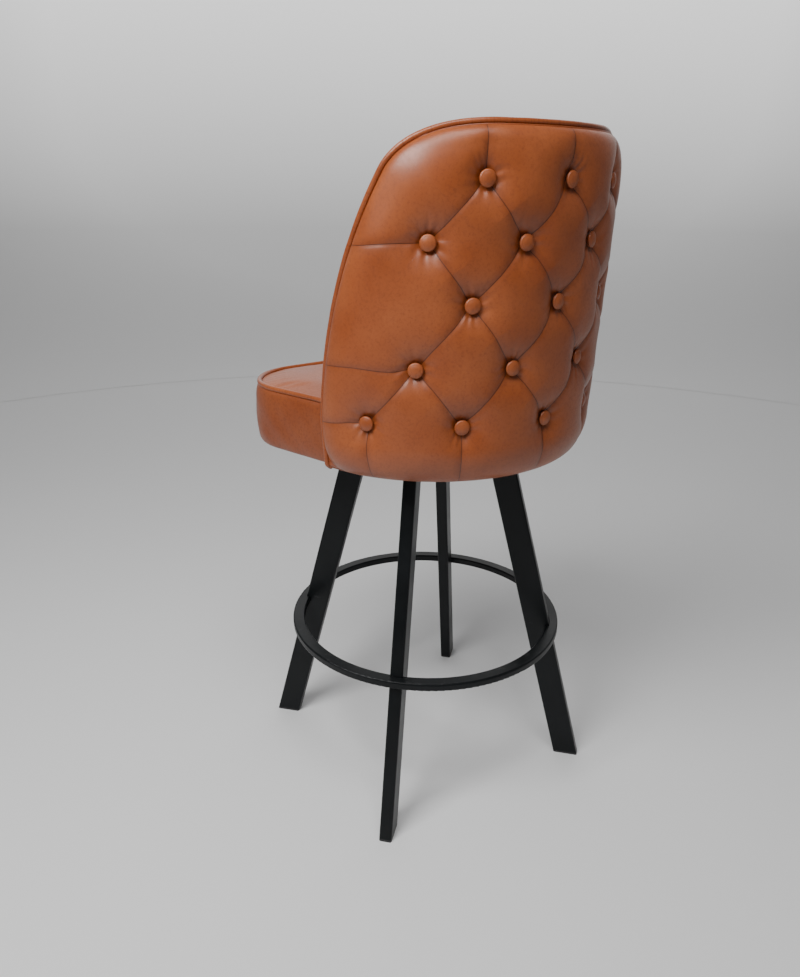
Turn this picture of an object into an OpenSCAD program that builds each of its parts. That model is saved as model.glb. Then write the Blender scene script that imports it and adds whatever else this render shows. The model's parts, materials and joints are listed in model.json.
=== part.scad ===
// Swivel bar stool: four leaning tube legs, a foot ring, and an upholstered
// bucket seat that turns on a ball-bearing plate.
// Millimetres, +Z up, floor at z = 0. The sitter faces -Y; the sitter's left is +X.

/* [Overall] */
// Height of the back above the floor
total_h = 1016; // [980:1:1060]
// Height of the seat cushion's welt above the floor
seat_h = 660; // [640:1:680]
// Height of the upholstered body's underside above the floor
body_low = 568; // [560:1:576]

/* [Legs] */
// Distance from the swivel axis to a leg's outer edge at the floor
foot_reach = 282.5; // [260:0.5:300]
// Lean of each leg from the vertical, in degrees
leg_lean = 14.8; // [12:0.1:16]
// Height of the legs' top ends
leg_top = 546; // [540:1:548]
// Wide face of the leg tube
leg_w = 40; // [36:1:44]
// Narrow face of the leg tube
leg_t = 20; // [18:1:24]
// Wall of the steel tubes
tube_wall = 1.5; // [1.2:0.1:2]
// Turn of the rear left leg from +X towards +Y at rest, in degrees
leg_turn = 38; // [36:1:48]
// Height of the glide plate under a leg
glide_h = 3.5; // [3:0.5:5]

/* [Foot ring] */
// Outer diameter of the foot ring
ring_d = 457.2; // [440:0.2:470]
// Radial width of the ring's tube
ring_w = 20; // [18:1:24]
// Height of the ring's tube
ring_h = 12; // [10:1:14]
// Height of the ring's top above the floor
ring_top = 254; // [240:1:270]

/* [Seat] */
// Radius of the seat outline behind the sitter
seat_rear_r = 200; // [194:1:201]
// Radius of the seat's front corners
seat_corner_r = 95; // [85:1:100]
// Distance from the middle of the seat to its widest point
seat_half_w = 225; // [222:1:232]
// Distance from the swivel axis to the seat's front edge at the welt
seat_front = 206; // [196:1:210]
// How far the seat's leather band and its wadding stand outside the welt line
band_out = 4.5; // [3:0.5:5]
// Diameter of the welts
welt_d = 8; // [7:0.5:10]
// Thickness of the seat board
board_t = 15; // [12:1:16]

/* [Back] */
// Radius of the back's outside at the height of the cushion
back_low_r = 245; // [242:0.5:248]
// Radius of the back's outside, carried on up to the full height
back_top_r = 264.5; // [260:0.5:270]
// How far inside the back's outer face the welt runs along the wings
welt_inset = 20; // [16:1:21]
// How much further inside it runs along the top
welt_top_inset = 9; // [0:1:10]
// Height at which the back starts to tuck in under the body
tuck_z = 626; // [610:1:640]
// Thickness of the tufted outer padding
outer_pad_t = 24; // [22:1:26]
// Thickness of the bent plywood shell
shell_t = 9; // [8:0.5:10]
// Thickness of the inner padding
inner_pad_t = 20; // [16:1:22]
// Heights of the button rows, from the top one down
button_rows = [951, 880, 807, 727, 652];
// Number of buttons in each row
button_counts = [3, 4, 3, 4, 5];
// Spacing of the buttons along each row, in degrees about the swivel axis
button_steps = [27, 28.2, 29.2, 30.2, 30.6];
// Diameter of a covered button
button_d = 21; // [20:1:24]

/* [Swivel] */
// Side of the square swivel plates
swivel_side = 152; // [150:1:154]
// Spacing of the swivel plates' bolt holes
swivel_holes = 127; // [124:1:128]
// Radius of the circle of bearing balls
race_r = 50; // [48:1:52]
// Number of bearing balls
ball_count = 20; // [12:1:24]

/* [Hidden] */
$fn = 96;
gap = 0.2;                    // between neighbouring pieces of one body
clear = 0.3;                  // between pieces of different bodies
run = 0.06;                   // radial clearance of the swivel pin
welt_r = welt_d / 2;
foot_r = foot_reach - leg_w / cos(leg_lean) / 2;     // leg's centre line at the floor
ring_r = ring_d / 2;
plate_t = 5;                  // base plate
plate_side = 210;
swivel_low = leg_top + plate_t;
swivel_top = swivel_low + 22;
swivel_mid = (swivel_low + swivel_top) / 2;
press_t = 2.5;                // sheet of the swivel plates
ball_r = 4;
pin_r = 6;
board_low = swivel_top;
board_top = board_low + board_t;
band_top = seat_h - welt_r - gap;
rail_top = board_top + 48;
wing_z = 640;                 // the wings' front edges are upright below this height
wing_y = 35;                  // and stand this far behind the swivel axis
top_z = total_h - welt_d - gap;                      // top of the padding, under the welt
round_z = top_z - 67;                                // where the top starts to round over
// Radius of the back's outside at a height
function back_r(z) = back_low_r + (z - tuck_z) * (back_top_r - back_low_r) / (total_h - tuck_z);
// The ring reaches furthest forward and the back's padding furthest back, so this
// puts the middle of the whole outline over the origin
axis_y = (ring_r - back_r(round_z)) / 2;

STEEL = [0.10, 0.11, 0.12];
ZINC = [0.70, 0.71, 0.72];
LEATHER = [0.60, 0.29, 0.13];
FOAM = [0.93, 0.88, 0.70];
PLY = [0.80, 0.65, 0.45];
PLASTIC = [0.06, 0.06, 0.06];

// ---------- shared shapes ----------

module at_axis() { translate([0, axis_y, 0]) children(); }

// Rectangle with round corners
module rounded(w, h, r) {
    square([w - 2 * r, h], center = true);
    square([w, h - 2 * r], center = true);
    for (sx = [-1, 1], sy = [-1, 1])
        translate([sx * (w / 2 - r), sy * (h / 2 - r)]) circle(r, $fn = 32);
}

// Everything between two heights
module slab(low, high) {
    translate([-400, -400, low]) cube([800, 800, high - low]);
}

// Straight bar along a leaning leg, longer than the leg at both ends, with the
// children as its section
module along_leg() {
    translate([foot_r, 0, 0]) rotate([0, -leg_lean, 0])
        translate([0, 0, -30]) linear_extrude(650) children();
}

// Bar that follows a list of points, with flat ends; closed loops have none.
// Each ring of the bar stands square to the path and starts on the side away
// from the swivel axis.
function unit(v) = v / norm(v);
function bar_ring(p, t, r, n) =
    let (out = [p[0], p[1], 0], s = unit(out - (out * t) * t), u = cross(s, t))
    [for (k = [0 : n - 1]) p + r * (cos(360 * k / n) * s + sin(360 * k / n) * u)];
module bar(path, r, closed = false, n = 10) {
    m = len(path);
    tangent = [for (i = [0 : m - 1])
        closed ? unit(path[(i + 1) % m] - path[(i + m - 1) % m])
               : unit(path[min(i + 1, m - 1)] - path[max(i - 1, 0)])];
    points = [for (i = [0 : m - 1]) each bar_ring(path[i], tangent[i], r, n)];
    spans = closed ? m : m - 1;
    walls = [for (i = [0 : spans - 1], k = [0 : n - 1])
        let (a = i * n, b = ((i + 1) % m) * n, l = (k + 1) % n)
        each [[a + k, b + k, b + l], [a + k, b + l, a + l]]];
    caps = closed ? [] : [[for (k = [0 : n - 1]) k], [for (k = [n - 1 : -1 : 0]) (m - 1) * n + k]];
    polyhedron(points, concat(walls, caps), convexity = 8);
}

// Seat outline seen from above, grown by g: a round rear, two front corners,
// and straight sides that touch both
function arc(c, r, from, to, steps) =
    [for (i = [0 : steps]) let (a = from + (to - from) * i / steps) c + r * [cos(a), sin(a)]];
corner_c = [seat_half_w - seat_corner_r, -(seat_front - seat_corner_r)];
side_turn = acos((seat_rear_r - seat_corner_r) / norm(corner_c)) + atan2(corner_c[1], corner_c[0]);
function seat_outline(g = 0) = concat(
    arc([0, 0], seat_rear_r + g, side_turn, 180 - side_turn, 40),
    arc([-corner_c[0], corner_c[1]], seat_corner_r + g, 180 - side_turn, 270, 14),
    arc(corner_c, seat_corner_r + g, -90, side_turn, 14));
module seat_slice(g, low, high) {
    translate([0, 0, low]) linear_extrude(high - low) polygon(seat_outline(g));
}

// Outside of the back under the flared wall: a quarter ellipse that tucks in
tuck_in = 40;
function tuck_r(z) = z > tuck_z ? back_r(z)
    : back_low_r - tuck_in + tuck_in * sqrt(1 - pow((tuck_z - z) / (tuck_z - body_low), 2));

// Welt line along the front edge of the wings, seen from the side: upright by the
// seat, leaning back above it on a gentle curve, and turning over into the level top
lean_end = 960;
function lean_y(z) = let (d = z - wing_z) wing_y + (d < 0 ? -0.04 * d : 0.112 * d + 0.000632 * d * d);
lean_out = atan(0.112 + 2 * 0.000632 * (lean_end - wing_z));
turn_r = (total_h - welt_r - lean_end) / (1 - sin(lean_out));
turn_c = [lean_y(lean_end) + turn_r * cos(lean_out), total_h - welt_r - turn_r];
wing_edge = concat(
    [for (z = [570, 577, 586, 600, 618]) [lean_y(z), z]],
    [for (i = [0 : 8]) let (z = wing_z + (lean_end - wing_z) * i / 8) [lean_y(z), z]],
    [for (i = [1 : 8]) let (a = 180 - lean_out - (90 - lean_out) * i / 8)
        turn_c + turn_r * [cos(a), sin(a)]]);
edge_last = len(wing_edge) - 1;

// Keeps what lies behind the welt line by at least g
module behind_wing_edge(g) {
    inset = [for (i = [0 : edge_last])
        let (t = unit(wing_edge[min(i + 1, edge_last)] - wing_edge[max(i - 1, 0)]))
        wing_edge[i] + g * [t[1], -t[0]]];
    intersection() {
        children();
        rotate([90, 0, 90]) linear_extrude(600, center = true)
            polygon(concat([[inset[0][0], body_low - 20]], inset,
                [[320, total_h], [320, body_low - 20]]));
    }
}

// Where the buttons stand: angle from the rear, in degrees, and height
function button_angles(row) = let (n = button_counts[row])
    [for (i = [0 : n - 1]) (i - (n - 1) / 2) * button_steps[row]];
module at_buttons(row) {
    for (a = button_angles(row)) rotate([0, 0, a])
        translate([0, back_r(button_rows[row]), button_rows[row]]) rotate([90, 0, 0]) children();
}
button_sink = 6;              // from the padding's outside to the button's top
button_h = 7;

// Four places on the bolt square of the swivel plates, turned with the plate
module at_bolts(turn) {
    for (k = [0 : 3]) rotate([0, 0, turn + 90 * k])
        translate([swivel_holes / sqrt(2), 0, 0]) children();
}

// Where the back is bolted to the rear rail
bolt_z = 612;
module at_back_bolts() {
    for (a = [-52, -20, 20, 52]) rotate([0, 0, a])
        translate([0, back_r(bolt_z) - outer_pad_t, bolt_z]) rotate([90, 0, 0]) children();
}

module hex_head(across, h) { cylinder(d = across / cos(30), h = h, $fn = 6); }

// ---------- base ----------

module leg(turn) {
    color(STEEL) at_axis() rotate([0, 0, turn]) difference() {
        intersection() {
            along_leg() difference() {
                rounded(leg_w, leg_t, 3);
                rounded(leg_w - 2 * tube_wall, leg_t - 2 * tube_wall, 1.5);
            }
            slab(glide_h, leg_top);
        }
        rotate_extrude() translate([ring_r - ring_w / 2, ring_top - ring_h / 2])
            rounded(ring_w + 2 * gap, ring_h + 2 * gap, 2.5 + gap);
    }
}
module leg_front_left() { leg(leg_turn - 90); }
module leg_front_right() { leg(leg_turn - 180); }
module leg_rear_left() { leg(leg_turn); }
module leg_rear_right() { leg(leg_turn + 90); }

// Plastic glide: a plate under the tube's end and a plug inside it
module glide(turn) {
    plug = tube_wall + gap;
    color(PLASTIC) at_axis() rotate([0, 0, turn]) {
        intersection() {
            along_leg() rounded(leg_w, leg_t, 3);
            slab(0, glide_h - 0.05);
        }
        intersection() {
            along_leg() rounded(leg_w - 2 * plug, leg_t - 2 * plug, 1.2);
            slab(1, 24);
        }
    }
}
module glide_front_left() { glide(leg_turn - 90); }
module glide_front_right() { glide(leg_turn - 180); }
module glide_rear_left() { glide(leg_turn); }
module glide_rear_right() { glide(leg_turn + 90); }

module foot_ring() {
    color(STEEL) at_axis() rotate_extrude()
        translate([ring_r - ring_w / 2, ring_top - ring_h / 2]) difference() {
            rounded(ring_w, ring_h, 2.5);
            rounded(ring_w - 2 * tube_wall, ring_h - 2 * tube_wall, 1.2);
        }
}

// Square plate that ties the four legs together; its corners lie over the leg tops
module base_plate() {
    color(STEEL) at_axis() difference() {
        translate([0, 0, leg_top]) rotate([0, 0, leg_turn + 45]) linear_extrude(plate_t)
            rounded(plate_side, plate_side, 10);
        translate([0, 0, leg_top - 1]) cylinder(r = 14, h = plate_t + 2);
        at_bolts(leg_turn + 45) translate([0, 0, leg_top - 1]) cylinder(r = 4.3, h = plate_t + 2);
    }
}

// ---------- swivel ----------

// Pressed plate: a flat square flange with a round hump that carries the ball
// track; drawn for the lower side, its back on z = 0 and the balls above it
hump = swivel_mid - swivel_low - press_t;            // height of the track's face
module swivel_plate(bore_r, hole_r) {
    difference() {
        union() {
            linear_extrude(press_t) difference() {
                rounded(swivel_side, swivel_side, 8);
                circle(race_r + 15);
            }
            rotate_extrude() difference() {
                polygon([
                    [bore_r, 0], [race_r - 14.5, 0], [race_r - 9.8, hump - 2.9],
                    [race_r + 9.8, hump - 2.9], [race_r + 14.5, 0], [race_r + 16, 0],
                    [race_r + 16, press_t], [race_r + 11, hump], [race_r - 11, hump],
                    [race_r - 16, press_t], [bore_r, press_t]]);
                translate([race_r, swivel_mid - swivel_low]) circle(ball_r + 0.05);
            }
        }
        at_bolts(45) translate([0, 0, -1]) cylinder(r = hole_r, h = press_t + 2);
    }
}
module swivel_lower_plate() {
    color(ZINC) at_axis() translate([0, 0, swivel_low]) rotate([0, 0, leg_turn])
        swivel_plate(pin_r + 0.02, 4.3);
}
module swivel_upper_plate() {
    color(ZINC) at_axis() translate([0, 0, swivel_top]) mirror([0, 0, 1])
        swivel_plate(pin_r + run, 3.3);
}
module bearing_balls() {
    color("silver") at_axis() for (k = [0 : ball_count - 1]) rotate([0, 0, 360 * k / ball_count])
        translate([race_r, 0, swivel_mid]) sphere(ball_r, $fn = 32);
}
module ball_cage() {
    color("goldenrod") at_axis() difference() {
        translate([0, 0, swivel_mid - 0.5]) difference() {
            cylinder(r = race_r + 6, h = 1);
            translate([0, 0, -1]) cylinder(r = race_r - 6, h = 3);
        }
        for (k = [0 : ball_count - 1]) rotate([0, 0, 360 * k / ball_count])
            translate([race_r, 0, swivel_mid - 1]) cylinder(r = ball_r + 0.1, h = 2, $fn = 32);
    }
}
// Rivet through both plates, its upper head set over a loose washer
module swivel_pin() {
    color(ZINC) at_axis() {
        translate([0, 0, swivel_low - 3]) cylinder(r = 10, h = 3);
        translate([0, 0, swivel_low - 1]) cylinder(r = pin_r, h = swivel_top - swivel_low + 4);
        translate([0, 0, swivel_top + 2]) cylinder(r = 9, h = 3);
    }
}
module swivel_washer() {
    color(ZINC) at_axis() translate([0, 0, swivel_top + clear]) difference() {
        cylinder(r = 12, h = 1.5);
        translate([0, 0, -1]) cylinder(r = pin_r + 0.1, h = 4);
    }
}

// ---------- fasteners ----------

module base_bolts() {
    color(ZINC) at_axis() at_bolts(leg_turn + 45) {
        translate([0, 0, leg_top - 5.3]) hex_head(13, 5.3);
        translate([0, 0, leg_top - 1]) cylinder(r = 4, h = 15.5);
    }
}
module base_nuts() {
    color(ZINC) at_axis() at_bolts(leg_turn + 45) translate([0, 0, swivel_low + press_t]) difference() {
        hex_head(13, 5);
        translate([0, 0, -1]) cylinder(r = 4.05, h = 7);
    }
}
module seat_bolts() {
    color(ZINC) at_axis() at_bolts(45) {
        translate([0, 0, swivel_top - press_t - 4.2]) hex_head(10, 4.2);
        translate([0, 0, swivel_top - press_t - 1]) cylinder(r = 3, h = board_t + press_t);
    }
}
module tee_nuts() {
    color(ZINC) at_axis() at_bolts(45) difference() {
        union() {
            translate([0, 0, board_top]) cylinder(r = 9, h = 1.5);
            translate([0, 0, board_low + 4]) cylinder(r = 4.2, h = board_t - 3);
        }
        translate([0, 0, board_low]) cylinder(r = 3.05, h = board_t + 3);
    }
}

// ---------- seat ----------

module seat_board() {
    color(PLY) at_axis() difference() {
        seat_slice(-gap, board_low, board_top);
        translate([0, 0, board_low - 1]) cylinder(r = 16, h = board_t + 2);
        at_bolts(45) translate([0, 0, board_low - 1]) cylinder(r = 4.3, h = board_t + 2);
    }
}
// Curved wooden rail on the rear of the board, which the back is bolted to
rail_span = 68;
module rear_rail() {
    color(PLY) at_axis() difference() {
        intersection() {
            translate([0, 0, board_top]) linear_extrude(rail_top - board_top) difference() {
                circle(seat_rear_r - gap);
                circle(seat_rear_r - 20);
            }
            union() for (turn = [90 - rail_span, rail_span])
                rotate([0, 0, turn]) translate([0, 0, board_low]) cube([300, 300, 100]);
        }
        at_back_bolts() cylinder(r = 3.05, h = 50);
    }
}
module seat_foam() {
    color(FOAM) at_axis() difference() {
        seat_slice(-gap, board_top, band_top - gap);
        at_bolts(45) translate([0, 0, board_top - 1]) cylinder(r = 9.3, h = 2.8);
        translate([0, 0, board_top - 1]) cylinder(r = 12, h = 2.5);
        difference() {
            translate([0, 0, board_top - 1]) cylinder(r = seat_rear_r + 5, h = rail_top - board_top + 1.3);
            translate([0, 0, board_top - 2]) cylinder(r = seat_rear_r - 20.3, h = 60);
            translate([-300, -300, board_top - 2])
                cube([600, 300 + (seat_rear_r - 25) * cos(rail_span), 60]);
        }
    }
}
// Leather band with its wadding, turned in under the board
module seat_band() {
    color(LEATHER) at_axis() difference() {
        seat_slice(band_out, body_low, band_top);
        seat_slice(0, board_low, seat_h);
        seat_slice(-20, body_low - 1, board_low + 1);
        at_back_bolts() cylinder(r = 3.3, h = 60);
    }
}
module seat_top() {
    color(LEATHER) at_axis() seat_slice(-welt_r - gap, band_top, seat_h + 7);
}
module seat_welt() {
    color(LEATHER) at_axis()
        bar([for (p = seat_outline(0)) [p[0], p[1], seat_h]], welt_r, closed = true);
}
module dust_cover() {
    color(PLASTIC) at_axis() difference() {
        seat_slice(-20 - gap, board_low - 1.2, board_low);
        translate([0, 0, board_low - 3]) linear_extrude(5) rounded(swivel_side + 4, swivel_side + 4, 9);
    }
}

// ---------- back ----------

// Ring that follows the back's outside between two depths, for the bent shell
module back_wall(depth_out, depth_in, low, high) {
    rotate_extrude() polygon([
        [back_r(low) - depth_out, low], [back_r(high) - depth_out, high],
        [back_r(high) - depth_in, high], [back_r(low) - depth_in, low]]);
}
pad_edge = welt_r + gap;      // the pads stop this far behind the welt line
shell_edge = pad_edge + 8;
shell_low = body_low + 4;
shell_high = top_z - 6;
module shell_blank(g) {
    behind_wing_edge(shell_edge - g)
        back_wall(outer_pad_t - g, outer_pad_t + shell_t + g, shell_low - g, shell_high + g);
}
module back_shell() {
    color(PLY) at_axis() difference() {
        shell_blank(0);
        at_back_bolts() {
            translate([0, 0, -20]) cylinder(r = 3.2, h = 60);
            translate([0, 0, -20]) cylinder(r = 6.3, h = 23.5);
        }
        for (row = [0 : len(button_rows) - 1]) at_buttons(row) cylinder(r = 1.6, h = 60);
    }
}
module back_bolts() {
    color(ZINC) at_axis() at_back_bolts() {
        translate([0, 0, 1]) cylinder(r = 6, h = 2.4);
        translate([0, 0, 2]) cylinder(r = 3, h = 38);
    }
}
// Inner padding: thick above the seat, a thin skin between the seat and the shell
inner_step = seat_h + 14;
module back_inner_pad() {
    out = outer_pad_t + gap;
    in = outer_pad_t + shell_t + inner_pad_t;
    skin = outer_pad_t + shell_t + 3;
    soft_r = 14;                                             // rounds the top inner edge
    color(LEATHER) at_axis() difference() {
        behind_wing_edge(pad_edge) rotate_extrude() polygon(concat(
            [[back_r(shell_low) - skin, shell_low], [back_r(shell_low) - out, shell_low],
             [back_r(top_z) - out, top_z]],
            [for (i = [0 : 5]) let (a = 90 * i / 5)
                [back_r(top_z) - in + soft_r * (1 - sin(a)), top_z - soft_r * (1 - cos(a))]],
            [[back_r(inner_step) - in, inner_step], [back_r(inner_step) - skin, inner_step]]));
        shell_blank(gap);
        at_back_bolts() cylinder(r = 3.3, h = 60);
    }
}
// The welt runs over the seam between the two pads, inside the back's round edges
function welt_path_r(z) = min(tuck_r(z) - welt_r, back_r(z) - welt_inset
    - welt_top_inset * pow(max(0, z - lean_end) / (total_h - lean_end), 2));
function on_back(r, p) = [sqrt(r * r - p[0] * p[0]), p[0], p[1]];
function mirrored(path) = [for (i = [len(path) - 1 : -1 : 0]) [-path[i][0], path[i][1], path[i][2]]];

// Outer padding: tucks in under the shell, rises with the flare and rounds over at
// the top; towards the wings' edges its layers stop one after another
layers = 4;
layer_step = 4.5;
layer_fade = [580, 620];      // heights between which the steps come in above the hem
module outer_layer(shrink) {
    depth = outer_pad_t - gap;
    over = back_r(round_z) - (back_r(top_z) - depth + 1);    // width of the round-over
    rotate_extrude() polygon(concat(
        [for (i = [0 : 8]) let (z = tuck_z - (tuck_z - body_low) * cos(90 * i / 8))
            let (share = (z - layer_fade[0]) / (layer_fade[1] - layer_fade[0]))
            [tuck_r(z) - shrink * max(0, min(1, share)), z]],
        [for (i = [0 : 7]) let (a = 90 * i / 7)
            [back_r(round_z) - shrink - (over - shrink) * (1 - cos(a)),
             round_z + (top_z - round_z) * sin(a)]],
        [[back_r(top_z) - depth, top_z], [back_r(shell_low) - depth, shell_low - gap],
         [back_low_r - tuck_in, shell_low - gap]]));
}
module back_outer_pad() {
    color(LEATHER) at_axis() difference() {
        union() for (i = [0 : layers - 1])
            behind_wing_edge(pad_edge + layer_step * i) outer_layer(layer_step * (layers - 1 - i));
        for (row = [0 : len(button_rows) - 1]) at_buttons(row) {
            translate([0, 0, -10]) cylinder(r = button_d / 2 + 0.4, h = 10 + button_sink + button_h);
            cylinder(r = 1.6, h = 60);
        }
    }
}
// Welt along the back's edge, from one lower end over the top to the other
module back_welt() {
    half = [for (p = wing_edge) on_back(welt_path_r(p[1]), p)];
    last = half[edge_last];
    span = atan2(last[0], last[1]);
    top = [for (i = [1 : 11]) let (a = span * (1 - i / 6))
        [norm([last[0], last[1]]) * sin(a), norm([last[0], last[1]]) * cos(a), last[2]]];
    color(LEATHER) at_axis() bar(concat(half, top, mirrored(half)), welt_r);
}
// Leather-covered buttons, each on a nail into the shell
module buttons(row) {
    color(LEATHER) at_axis() at_buttons(row) {
        intersection() {
            translate([0, 0, button_sink + 12.5]) sphere(12.5, $fn = 48);
            translate([0, 0, button_sink]) cylinder(r = button_d / 2, h = button_h - 0.1);
        }
        translate([0, 0, button_sink + 3]) cylinder(r = 1.4, h = outer_pad_t - button_sink + 2);
    }
}
module buttons_row_1() { buttons(0); }
module buttons_row_2() { buttons(1); }
module buttons_row_3() { buttons(2); }
module buttons_row_4() { buttons(3); }
module buttons_row_5() { buttons(4); }

leg_front_left();
leg_front_right();
leg_rear_left();
leg_rear_right();
glide_front_left();
glide_front_right();
glide_rear_left();
glide_rear_right();
foot_ring();
base_plate();
swivel_lower_plate();
bearing_balls();
ball_cage();
swivel_pin();
swivel_washer();
base_bolts();
base_nuts();
swivel_upper_plate();
seat_bolts();
tee_nuts();
seat_board();
rear_rail();
seat_foam();
seat_band();
seat_top();
seat_welt();
dust_cover();
back_shell();
back_bolts();
back_inner_pad();
back_outer_pad();
back_welt();
buttons_row_1();
buttons_row_2();
buttons_row_3();
buttons_row_4();
buttons_row_5();
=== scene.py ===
# %% [markdown]
# # A swivel stool with a tufted bucket back
#
# The engineering model gives every hard piece: legs, foot ring, swivel, plywood and
# fasteners. This lesson dresses it. The soft pieces (cushion, side band, two paddings,
# welts and buttons) are made new around the plain solids that stand for them, and every
# surface gets its finish. Lengths are in metres, +Z is up, and the sitter faces -Y.

# %% Load the frame
import json

import bpy
import numpy as np
from mathutils import Matrix, Vector


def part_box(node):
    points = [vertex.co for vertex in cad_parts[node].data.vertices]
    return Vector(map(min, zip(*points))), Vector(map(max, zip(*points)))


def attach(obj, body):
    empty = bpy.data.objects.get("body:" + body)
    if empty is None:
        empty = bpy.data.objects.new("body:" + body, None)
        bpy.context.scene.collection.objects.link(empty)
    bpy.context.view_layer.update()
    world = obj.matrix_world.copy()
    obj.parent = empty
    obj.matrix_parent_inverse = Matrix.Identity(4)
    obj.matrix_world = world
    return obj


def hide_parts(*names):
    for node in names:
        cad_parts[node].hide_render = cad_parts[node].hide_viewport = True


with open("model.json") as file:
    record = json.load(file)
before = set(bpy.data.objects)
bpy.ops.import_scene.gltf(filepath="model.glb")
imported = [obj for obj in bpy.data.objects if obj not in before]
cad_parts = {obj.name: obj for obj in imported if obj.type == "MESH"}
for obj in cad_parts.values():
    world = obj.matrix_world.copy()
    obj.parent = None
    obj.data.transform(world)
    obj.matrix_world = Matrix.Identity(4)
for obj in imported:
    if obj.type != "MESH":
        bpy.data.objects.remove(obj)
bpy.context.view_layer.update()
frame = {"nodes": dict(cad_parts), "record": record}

# %% [markdown]
# ## Sizes that the frame gives
#
# A piece fits because its place is read from the solids around it. The foot ring is round
# and centred on the swivel, so the middle of its box is the axis that everything soft is
# measured from.

# %% Sizes
def middle(node):
    """Middle of a node's box."""
    low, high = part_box(node)
    return (np.array(low) + np.array(high)) / 2


MM = 0.001
axis_y = middle("foot_ring")[1]
seat_h = middle("seat_welt")[2]
welt_r = (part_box("seat_welt")[1][2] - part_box("seat_welt")[0][2]) / 2
total_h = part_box("back_welt")[1][2]
body_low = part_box("seat_band")[0][2]
print("axis y %.4f, seat %.3f, top %.3f, welt %.4f" % (axis_y, seat_h, total_h, welt_r))

# %% [markdown]
# ## Putting numbers into a mesh
#
# A mesh is a list of points and a list of faces. Numpy works out both as whole arrays, and
# one call hands them over. The faces of a closed piece must look outwards: the sum of the
# little cones between the origin and each face is its volume, and a negative one says that
# the piece is inside out.

# %% Mesh helpers
def signed_volume(points, quads, tris):
    """Sum over the triangles of the box product of their corners, a sixth of it."""
    halves = [quads[:, [0, 1, 2]], quads[:, [0, 2, 3]]] if len(quads) else []
    corners = points[np.concatenate(halves + ([tris] if len(tris) else []))]
    return np.einsum("ij,ij->", corners[:, 0], np.cross(corners[:, 1], corners[:, 2])) / 6


def make_piece(name, points, quads, tris=(), caps=()):
    """Mesh object from (n, 3) points, quads, triangles and caps of many corners, facing out."""
    quads, tris = np.asarray(quads, int).reshape(-1, 4), np.asarray(tris, int).reshape(-1, 3)
    volume = signed_volume(points, quads, tris)
    faces = quads.tolist() + tris.tolist() + [list(cap) for cap in caps]
    if volume < 0:
        faces = [face[::-1] for face in faces]
    mesh = bpy.data.meshes.new(name)
    mesh.from_pydata(points.tolist(), [], faces)
    mesh.validate()
    mesh.polygons.foreach_set("use_smooth", np.ones(len(mesh.polygons), bool))
    piece = bpy.data.objects.new(name, mesh)
    bpy.context.scene.collection.objects.link(piece)
    print("%s: %d points, %d faces, %.2f litres" % (name, len(points), len(faces), abs(volume) * 1000))
    return piece


def grid_quads(rows, columns, wrap_rows=False, wrap_columns=True, start=0):
    """Quads between neighbours of a grid whose points are numbered row by row."""
    index = start + np.arange(rows * columns).reshape(rows, columns)
    across = np.roll(index, -1, axis=1)
    here, there = index, np.roll(index, -1, axis=0)
    across_there = np.roll(across, -1, axis=0)
    quads = np.stack([here, across, across_there, there], axis=-1)
    quads = quads if wrap_rows else quads[:-1]
    quads = quads if wrap_columns else quads[:, :-1]
    return quads.reshape(-1, 4)


def ease(value, low, high):
    """0 below low, 1 above high, and three times the square less twice the cube between."""
    t = np.clip((value - low) / (high - low), 0, 1)
    return t * t * (3 - 2 * t)

# %% [markdown]
# ## Unevenness
#
# Hand-made upholstery is never quite regular. A sum of a dozen waves in seeded random
# directions gives a smooth wander that is the same at each run, and it works on whole
# arrays at once.

# %% Wander
def wander(a, b, size, seed):
    """Twelve sines across the (a, b) plane, their wavelengths round size, scaled to about -1 to 1."""
    draw = np.random.default_rng(seed)
    turn, phase = draw.uniform(0, 2 * np.pi, 12), draw.uniform(0, 2 * np.pi, 12)
    wave = 2 * np.pi / (size * draw.uniform(0.7, 1.6, 12))
    total = np.zeros(np.shape(a))
    for k in range(12):
        total += np.sin(wave[k] * (np.cos(turn[k]) * a + np.sin(turn[k]) * b) + phase[k])
    return total / 5


print("wander over 1 m:", np.round(wander(np.linspace(0, 1, 5), np.zeros(5), 0.2, 1), 2))

# %% [markdown]
# ## The camera
#
# It stands behind the stool's left shoulder, a little above the back, and looks down on
# the swivel axis. A wide lens close by gives the strong taper of the legs.

# %% Camera
camera_place = np.array([0.7883, axis_y + 0.9068, 0.9390])
heading, dip, tilt = np.radians(231.16), 0.367, 0.0076
lens_in_heights = 780 / 977

forward = np.array([np.cos(heading) * np.cos(dip), np.sin(heading) * np.cos(dip), -np.sin(dip)])
level = np.array([np.sin(heading), -np.cos(heading), 0.0])
upward = np.cross(level, forward)
right = np.cos(tilt) * level + np.sin(tilt) * upward
upright = -np.sin(tilt) * level + np.cos(tilt) * upward

camera_data = bpy.data.cameras.new("camera")
camera = bpy.data.objects.new("camera", camera_data)
bpy.context.scene.collection.objects.link(camera)
turn = np.column_stack([right, upright, -forward])
camera.matrix_world = Matrix.Translation(Vector(camera_place)) @ Matrix(turn.tolist()).to_4x4()
camera_data.sensor_fit = "VERTICAL"
camera_data.sensor_height = 36
camera_data.lens = 36 * lens_in_heights
bpy.context.scene.camera = camera
print("camera at", np.round(camera_place, 3), "lens %.1f mm" % camera_data.lens)

# %% [markdown]
# ## Node helpers
#
# A finish is a small program of nodes. These helpers add a node and fill its inputs with a
# value or with another node's output, so a finish reads from top to bottom.

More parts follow.
